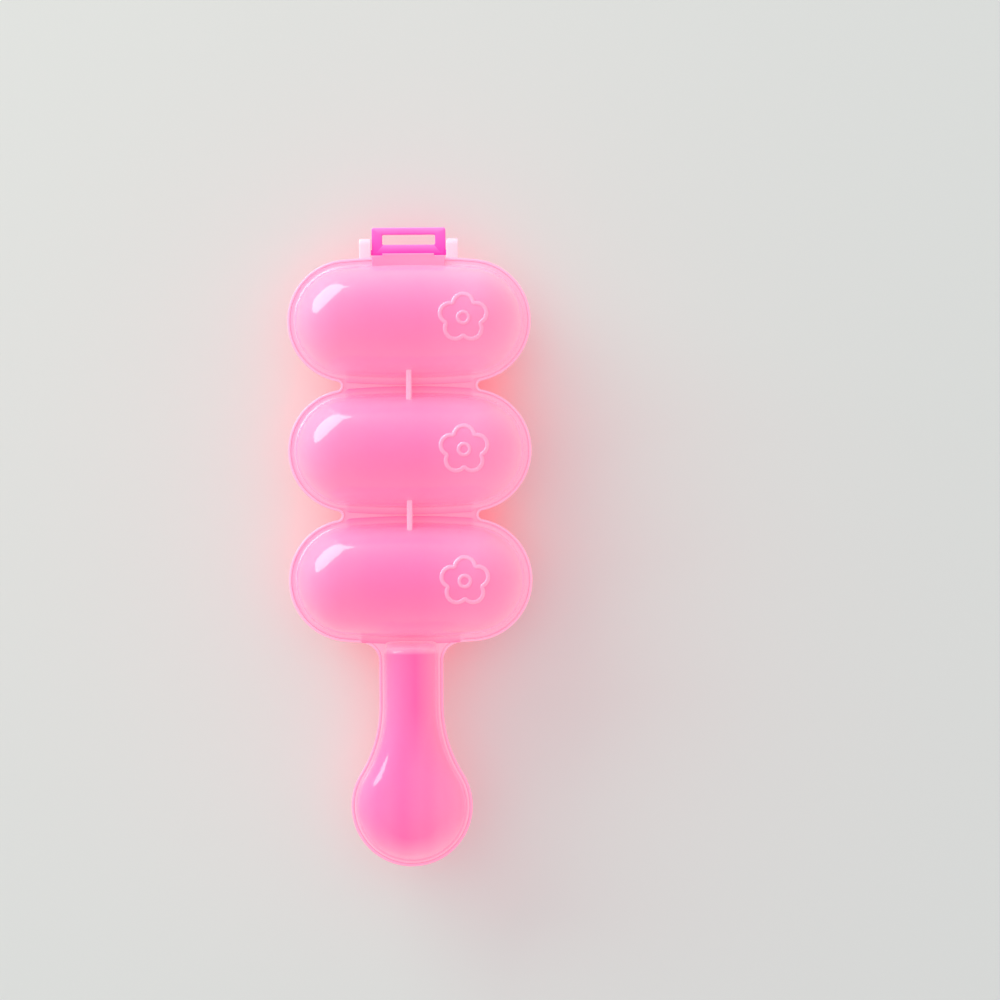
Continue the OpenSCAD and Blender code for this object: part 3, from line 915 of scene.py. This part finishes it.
def moulded_plastic_group():
    """Moulded plastic: milky clouds in the colour, fine wear in the roughness, a faint orange-peel height."""
    name = "moulded_plastic"
    if name in bpy.data.node_groups:
        return bpy.data.node_groups[name]
    tree, inp, out = new_group(
        name,
        [
            ("Colour", "NodeSocketColor", (1, 0.2, 0.5, 1)),
            ("Pale Colour", "NodeSocketColor", (1, 0.4, 0.6, 1)),
            ("Pale Mask", "NodeSocketFloat", 0.0),
            ("Cloud Amount", "NodeSocketFloat", 0.15),
            ("Roughness", "NodeSocketFloat", 0.25),
            ("Wear", "NodeSocketFloat", 0.08),
        ],
        [("Colour", "NodeSocketColor"), ("Roughness", "NodeSocketFloat"), ("Height", "NodeSocketFloat")],
    )
    links, given = tree.links, inp.outputs
    place = tree.nodes.new("ShaderNodeTexCoord").outputs["Object"]
    clouds = remap(tree, noise(tree, place, 38.0, detail=3.0, rough=0.55), 0.3, 0.7, -1.0, 1.0)
    mask = math_node(tree, "MULTIPLY_ADD", clouds, given["Cloud Amount"], given["Pale Mask"], clamp=True)
    links.new(blend(tree, mask, given["Colour"], given["Pale Colour"]), out.inputs["Colour"])
    smears = remap(tree, noise(tree, place, 160.0, detail=4.0, rough=0.6), 0.35, 0.75, -1.0, 1.0)
    rough = math_node(tree, "MULTIPLY_ADD", smears, given["Wear"], given["Roughness"], clamp=True)
    links.new(rough, out.inputs["Roughness"])
    peel = math_node(tree, "ADD", noise(tree, place, 420.0), noise(tree, place, 60.0, detail=1.0))
    links.new(peel, out.inputs["Height"])
    return tree


# What the plastics have in common. range is the height over which they pale, sides how pale they are at its
# near end and rim what a flange adds: painted sheen and light scattered in the thick rims. root is a ramp
# along the tool with the tone it adds up to, painted light as well. glow is a painted glow for light that
# spreads in the thin walls, partly the pigment's own, and the key after it is what the glow gains where they
# are palest.
PLASTIC = {
    "roughness": 0.3,
    "wear": 0.01,
    "clouds": 0.015,
    "specular": 0.25,
    "coat": 1.0,
    "scatter": 0.3,
    "through": (0.99, 0.35, 0.44),
    "glow": (0.35, 0.035, 0.08),
    "milk": (0.0, 0.09, 0.08),
    "range": (1.0 * MM, 21.5 * MM),
    "ease": 0.75,
    "sides": 0.88,
    "rim": 0.2,
    "root": None,
    "root_tone": 0.0,
}


def painted_light_mask(tree, part_z, look):
    """How pale the plastic is, as painted sheen and scattered light: (1 - height range)^ease by height from
    the parting plane, more on a flange, a ramp along the tool, and the piece's tone, most of which is painted
    light and shade too."""
    place = tree.nodes.new("ShaderNodeSeparateXYZ")
    tree.links.new(tree.nodes.new("ShaderNodeTexCoord").outputs["Object"], place.inputs[0])
    height = math_node(tree, "ABSOLUTE", math_node(tree, "SUBTRACT", place.outputs["Z"], part_z))
    ease = math_node(tree, "POWER", remap(tree, height, *look["range"], 1.0, 0.0), look["ease"])
    extras = [remap(tree, height, 1.8 * MM, 3.0 * MM, look["rim"], 0.0)]
    if look["root"]:
        extras.append(remap(tree, place.outputs["Y"], *look["root"], 0.0, look["root_tone"]))
    tone = tree.nodes.new("ShaderNodeAttribute")
    tone.attribute_name = "tone"
    mask = remap(tree, ease, 0.0, 1.0, 0.0, look["sides"])
    for extra in (*extras, tone.outputs["Fac"]):
        mask = math_node(tree, "ADD", mask, extra, clamp=True)
    return mask


def plastic(name, deep, pale, part_z, **own):
    """Glossy plastic from the shared group. It pales towards the parting plane, by height above or below it,
    which is painted sheen and light scattered in the thick rims; it glows a little, a painted glow for light
    that spreads in the thin walls as well as the daylight pigment's own; and it lets its own colour through
    where it casts a shadow."""
    if name in bpy.data.materials:
        return bpy.data.materials[name]
    look = PLASTIC | own
    material = bpy.data.materials.new(name)
    material.use_nodes = True
    tree = material.node_tree
    links = tree.links
    shader = tree.nodes["Principled BSDF"]
    group = tree.nodes.new("ShaderNodeGroup")
    group.node_tree = moulded_plastic_group()
    group.inputs["Colour"].default_value = (*deep, 1)
    group.inputs["Pale Colour"].default_value = (*pale, 1)
    group.inputs["Cloud Amount"].default_value = look["clouds"]
    group.inputs["Roughness"].default_value = look["roughness"]
    group.inputs["Wear"].default_value = look["wear"]
    mask = painted_light_mask(tree, part_z, look)
    links.new(mask, group.inputs["Pale Mask"])
    bump = tree.nodes.new("ShaderNodeBump")
    bump.inputs["Strength"].default_value = 0.01
    bump.inputs["Distance"].default_value = 0.4 * MM
    links.new(group.outputs["Height"], bump.inputs["Height"])
    links.new(group.outputs["Colour"], shader.inputs["Base Color"])
    links.new(group.outputs["Roughness"], shader.inputs["Roughness"])
    links.new(bump.outputs["Normal"], shader.inputs["Normal"])
    # painted glow: more emission where the plastic is palest
    if look["milk"]:
        milky = [c + k for c, k in zip(look["glow"], look["milk"], strict=True)]
        links.new(blend(tree, mask, look["glow"], milky), shader.inputs["Emission Color"])
    for label, value in (
        ("Emission Color", (*look["glow"], 1)),
        ("Emission Strength", 1.0),
        ("IOR", 1.49),
        ("Specular IOR Level", look["specular"]),
        ("Subsurface Weight", look["scatter"]),
        ("Subsurface Radius", (1.0, 0.35, 0.55)),
        ("Subsurface Scale", 4 * MM),
        ("Coat Weight", look["coat"]),
        ("Coat Roughness", 0.04),
        ("Coat IOR", 1.62),
    ):
        shader.inputs[label].default_value = value
    through = tree.nodes.new("ShaderNodeBsdfTransparent")
    through.inputs["Color"].default_value = (*look["through"], 1)
    mix = tree.nodes.new("ShaderNodeMixShader")
    links.new(tree.nodes.new("ShaderNodeLightPath").outputs["Is Shadow Ray"], mix.inputs[0])
    links.new(shader.outputs[0], mix.inputs[1])
    links.new(through.outputs[0], mix.inputs[2])
    links.new(mix.outputs[0], tree.nodes["Material Output"].inputs["Surface"])
    return material


def shell_material(p, colours):
    """Milky pink plastic of the upper bowls, palest low down on their sides, where sheen and scattered light
    are painted in.
    """
    return plastic("milky_pink_plastic", colours.shell, colours.pale, p.part_z)


def under_material(p, colours):
    """The same plastic on the lower half, with more painted glow, which stands in for the light that comes
    down through the tool.
    """
    return plastic("milky_pink_under", colours.shell, colours.pale, p.part_z, glow=(0.5, 0.05, 0.085))


def grip_material(p, colours):
    """The same plastic on the grip in a deeper pink, palest at the foot of its low hump, as painted sheen,
    and at its front end, as painted light on a slope that the last bowl shades.
    """
    deep = [c * k for c, k in zip(colours.shell, (1.0, 0.62, 0.96), strict=True)]
    return plastic(
        "milky_pink_grip",
        deep,
        colours.pale,
        p.part_z,
        glow=(0.35, 0.03, 0.07),
        range=(1.8 * MM, 4.6 * MM),
        ease=1.0,
        sides=0.5,
        # painted light: the front slope of the hump is paler
        root=(p.bowls[2] - 26.2 * MM, p.bowls[2] - 24.0 * MM),
        root_tone=0.9,
    )


def ear_material(p, colours):
    """Milkiest of all: the thick ears."""
    return plastic("milky_pink_ears", colours.pale, colours.ear, p.part_z, glow=(0.35, 0.08, 0.12))


def latch_material(p, colours):
    """Deeper magenta plastic of the latch, a little paler from its hinge to its free end: painted shade by
    the ledge at the near bar, painted light towards the free end.
    """
    return plastic(
        "magenta_plastic",
        colours.latch,
        colours.latch_painted_highlight,
        p.part_z,
        roughness=0.28,
        specular=0.08,
        coat=0.14,
        scatter=0.1,
        through=(1.0, 0.4, 0.8),
        glow=(0.25, 0.004, 0.07),
        milk=None,
        sides=0.0,
        root=(p.hinge_y + 0.6 * MM, p.hinge_y + p.latch_reach),
        root_tone=0.25,
    )


# ---------------------------------------------------------------- operators


class MOLD_OT_upper_bowls(bpy.types.Operator):
    """Build the upper half's bowls, webs and ribs"""

    bl_idname = "mold.upper_bowls"
    bl_label = "Upper Bowls"

    def execute(self, context):
        p = Plan(context.scene)
        material = shell_material(p, context.scene.mold_colours)
        surfaces = bowls_of_half(p, p.fit_in)
        piece = make_piece("upper_bowls", surfaces, material, "upper_half", p.part_z)
        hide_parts("upper_shell")
        return {"FINISHED"}


class MOLD_OT_lower_bowls(bpy.types.Operator):
    """Build the lower half's bowls, webs and ribs"""

    bl_idname = "mold.lower_bowls"
    bl_label = "Lower Bowls"

    def execute(self, context):
        p = Plan(context.scene)
        material = under_material(p, context.scene.mold_colours)
        surfaces = [below(s) for s in bowls_of_half(p, p.s.lip / 2, p.part_z)]
        piece = make_piece("lower_bowls", surfaces, material, "lower_half", p.part_z)
        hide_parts("lower_shell")
        return {"FINISHED"}


class MOLD_OT_grip_halves(bpy.types.Operator):
    """Build both halves of the teardrop grip"""

    bl_idname = "mold.grip_halves"
    bl_label = "Grip Halves"

    def execute(self, context):
        p = Plan(context.scene)
        material = grip_material(p, context.scene.mold_colours)
        # the upper flange is toned paler: a painted highlight along the grip's edge
        upper = [hump_surfaces(p), foot_bead(p), toned(grip_flange(p, p.fit_in), GRIP_FLANGE_PAINTED_HIGHLIGHT)]
        make_piece("upper_grip", upper, material, "upper_half", p.part_z)
        lower = [below(s) for s in (hump_surfaces(p), foot_bead(p), grip_flange(p, p.s.lip / 2))]
        material = under_material(p, context.scene.mold_colours)
        make_piece("lower_grip", lower, material, "lower_half", p.part_z)
        return {"FINISHED"}


class MOLD_OT_rim_lip(bpy.types.Operator):
    """Build the lower half's upright lip round the whole outline"""

    bl_idname = "mold.rim_lip"
    bl_label = "Rim Lip"

    def execute(self, context):
        p = Plan(context.scene)
        s = p.s
        radii = [0.4 * MM, HIDDEN_EDGE, 0.25 * MM, 0.4 * MM]
        profile = rounded_box(0, s.lip, -s.flange - HAIR, s.flange, radii)
        points, normals = whole_rim(p)
        material = shell_material(p, context.scene.mold_colours)
        lip = sweep(points, normals, profile)
        # painted shade: duller round the grip, whose own flange carries the painted highlight
        tone = GRIP_LIP_PAINTED_SHADE * ramp(lip[0][:, 1], p.bowls[2] - 24 * MM, p.bowls[2] - 28 * MM)
        make_piece("rim_lip", [toned(lip, tone)], material, "lower_half", p.part_z)
        return {"FINISHED"}


class MOLD_OT_blossoms(bpy.types.Operator):
    """Build the raised line blossoms on the upper bowls"""

    bl_idname = "mold.blossoms"
    bl_label = "Blossoms"

    def execute(self, context):
        p = Plan(context.scene)
        material = shell_material(p, context.scene.mold_colours)
        surfaces = [mark for middle in p.bowls for mark in blossom_surfaces(p, middle)]
        make_piece("blossom_lines", surfaces, material, "upper_half", p.part_z)
        return {"FINISHED"}


class MOLD_OT_catch_and_ears(bpy.types.Operator):
    """Build the catch of the upper half and the ears of the lower half"""

    bl_idname = "mold.catch_and_ears"
    bl_label = "Catch and Ears"

    def execute(self, context):
        p = Plan(context.scene)
        material = shell_material(p, context.scene.mold_colours)
        # painted shadow of the latch, lighter towards its right end
        catch = [toned(s, CATCH_PAINTED_SHADOW + 0.2 * ramp(s[0][:, 0], 0, 10 * MM)) for s in catch_surfaces(p)]
        make_piece("catch", catch, material, "upper_half", p.part_z)
        ears = [toned(s, EAR_TONE) for s in ear_surfaces(p, 1) + ear_surfaces(p, -1)]
        material = ear_material(p, context.scene.mold_colours)
        make_piece("ears", ears, material, "lower_half", p.part_z)
        return {"FINISHED"}


class MOLD_OT_latch(bpy.types.Operator):
    """Build the flip latch with its stub pins"""

    bl_idname = "mold.latch"
    bl_label = "Latch"

    def execute(self, context):
        p = Plan(context.scene)
        material = latch_material(p, context.scene.mold_colours)
        surfaces = latch_surfaces(p)
        piece = make_piece("latch_frame_piece", surfaces, material, "latch_frame", p.part_z)
        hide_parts("latch")
        return {"FINISHED"}


class MOLD_OT_stage(bpy.types.Operator):
    """Build the floor, world, lamp and camera"""

    bl_idname = "mold.stage"
    bl_label = "Stage"

    def execute(self, context):
        scene = context.scene
        p, st, colours = Plan(scene), scene.stage_settings, scene.mold_colours
        scene.view_settings.view_transform = "Standard"
        self.floor(scene, colours)
        self.world(scene, colours, st)
        self.lamp(scene, st)
        self.camera(scene, p, st)
        return {"FINISHED"}

    def floor(self, scene, colours):
        """Wide flat floor just under the feet."""
        r = FLOOR_REACH
        v, f = grid(np.array([[[-r, -r, 0], [r, -r, 0]], [[-r, r, 0], [r, r, 0]]]))
        mesh = bpy.data.meshes.new("floor")
        mesh.from_pydata(v.tolist(), [], f.tolist())
        floor = bpy.data.objects.new("floor", mesh)
        scene.collection.objects.link(floor)
        material = bpy.data.materials.new("matt_table")
        material.use_nodes = True
        tree = material.node_tree
        shader = tree.nodes["Principled BSDF"]
        place = tree.nodes.new("ShaderNodeTexCoord").outputs["Object"]
        dull, bright = ([min(1, c * k) for c in colours.floor] for k in (0.985, 1.015))
        tree.links.new(blend(tree, noise(tree, place, 3.0), dull, bright), shader.inputs["Base Color"])
        shader.inputs["Roughness"].default_value = 0.7
        shader.inputs["Specular IOR Level"].default_value = 0.2
        mesh.materials.append(material)

    def world(self, scene, colours, st):
        """Sky light, brightest from the upper left: strength = low + (high - low) (direction . aim)^2. The
        camera and what is glossy see the floor's own grey."""
        world = bpy.data.worlds.new("studio")
        scene.world = world
        world.use_nodes = True
        tree = world.node_tree
        back = tree.nodes["Background"]
        back.inputs["Color"].default_value = (*st.sky, 1)
        aim = tree.nodes.new("ShaderNodeVectorMath")
        aim.operation = "DOT_PRODUCT"
        aim.inputs[1].default_value = Vector((-0.35, 0.4, 0.85)).normalized()
        tree.links.new(tree.nodes.new("ShaderNodeTexCoord").outputs["Generated"], aim.inputs[0])
        lobe = math_node(tree, "POWER", remap(tree, aim.outputs["Value"], 0.0, 1.0, 0.0, 1.0), 2.0)
        tree.links.new(remap(tree, lobe, 0.0, 1.0, st.sky_low, st.sky_high), back.inputs["Strength"])
        seen = tree.nodes.new("ShaderNodeBackground")
        seen.inputs["Color"].default_value = (*colours.floor, 1)
        path = tree.nodes.new("ShaderNodeLightPath")
        shows = path.outputs["Is Camera Ray"]
        for ray in ("Is Glossy Ray", "Is Transmission Ray"):
            shows = math_node(tree, "MAXIMUM", shows, path.outputs[ray])
        mix = tree.nodes.new("ShaderNodeMixShader")
        tree.links.new(shows, mix.inputs[0])
        tree.links.new(back.outputs[0], mix.inputs[1])
        tree.links.new(seen.outputs[0], mix.inputs[2])
        tree.links.new(mix.outputs[0], tree.nodes["World Output"].inputs["Surface"])

    def lamp(self, scene, st):
        """Elliptic area lamp on a dome round the tool, facing the middle."""
        data = bpy.data.lights.new("window_lamp", "AREA")
        data.shape = "ELLIPSE"
        data.size, data.size_y = st.lamp_width, st.lamp_height
        data.energy = st.power
        data.color = st.light
        lamp = bpy.data.objects.new("window_lamp", data)
        a, e = st.azimuth, st.elevation
        place = Vector((math.cos(a) * math.cos(e), math.sin(a) * math.cos(e), math.sin(e))) * st.distance
        lamp.location = place
        lamp.rotation_mode = "QUATERNION"
        lamp.rotation_quaternion = (-place).to_track_quat("-Z", "Y")
        scene.collection.objects.link(lamp)

    def camera(self, scene, p, st):
        """Looks straight down, turned a little, with its middle where the picture's is."""
        data = bpy.data.cameras.new("camera")
        data.sensor_width = 36
        data.lens = data.sensor_width * (st.height - p.part_z) / st.scale
        data.clip_end = 20
        camera = bpy.data.objects.new("camera", data)
        c, s = math.cos(st.turn), math.sin(st.turn)
        camera.location = (st.right * c - st.up * s, st.right * s + st.up * c, st.height)
        camera.rotation_euler = (0, 0, st.turn)
        scene.collection.objects.link(camera)
        scene.camera = camera


class MOLD_PT_panel(bpy.types.Panel):
    """Lists the operators of the rice mold"""

    bl_idname = "MOLD_PT_panel"
    bl_label = "Rice Mold"
    bl_space_type = "VIEW_3D"
    bl_region_type = "UI"
    bl_category = "Rice Mold"

    def draw(self, context):
        for operator in PIECES:
            self.layout.operator(operator.bl_idname)


GROUPS = (
    ("mold_sizes", MoldSizes),
    ("latch_sizes", LatchSizes),
    ("blossom_sizes", BlossomSizes),
    ("mold_colours", MoldColours),
    ("stage_settings", StageSettings),
)
PIECES = (
    MOLD_OT_lower_bowls,
    MOLD_OT_upper_bowls,
    MOLD_OT_grip_halves,
    MOLD_OT_rim_lip,
    MOLD_OT_blossoms,
    MOLD_OT_catch_and_ears,
    MOLD_OT_latch,
    MOLD_OT_stage,
)


def register():
    for name, group in GROUPS:
        bpy.utils.register_class(group)
        setattr(bpy.types.Scene, name, PointerProperty(type=group))
    for operator in PIECES:
        bpy.utils.register_class(operator)
    bpy.utils.register_class(MOLD_PT_panel)


def unregister():
    bpy.utils.unregister_class(MOLD_PT_panel)
    for operator in reversed(PIECES):
        bpy.utils.unregister_class(operator)
    for name, group in reversed(GROUPS):
        delattr(bpy.types.Scene, name)
        bpy.utils.unregister_class(group)


def main():
    register()
    for operator in PIECES:
        getattr(bpy.ops.mold, operator.bl_idname.split(".")[1])()


if __name__ == "__main__":
    main()
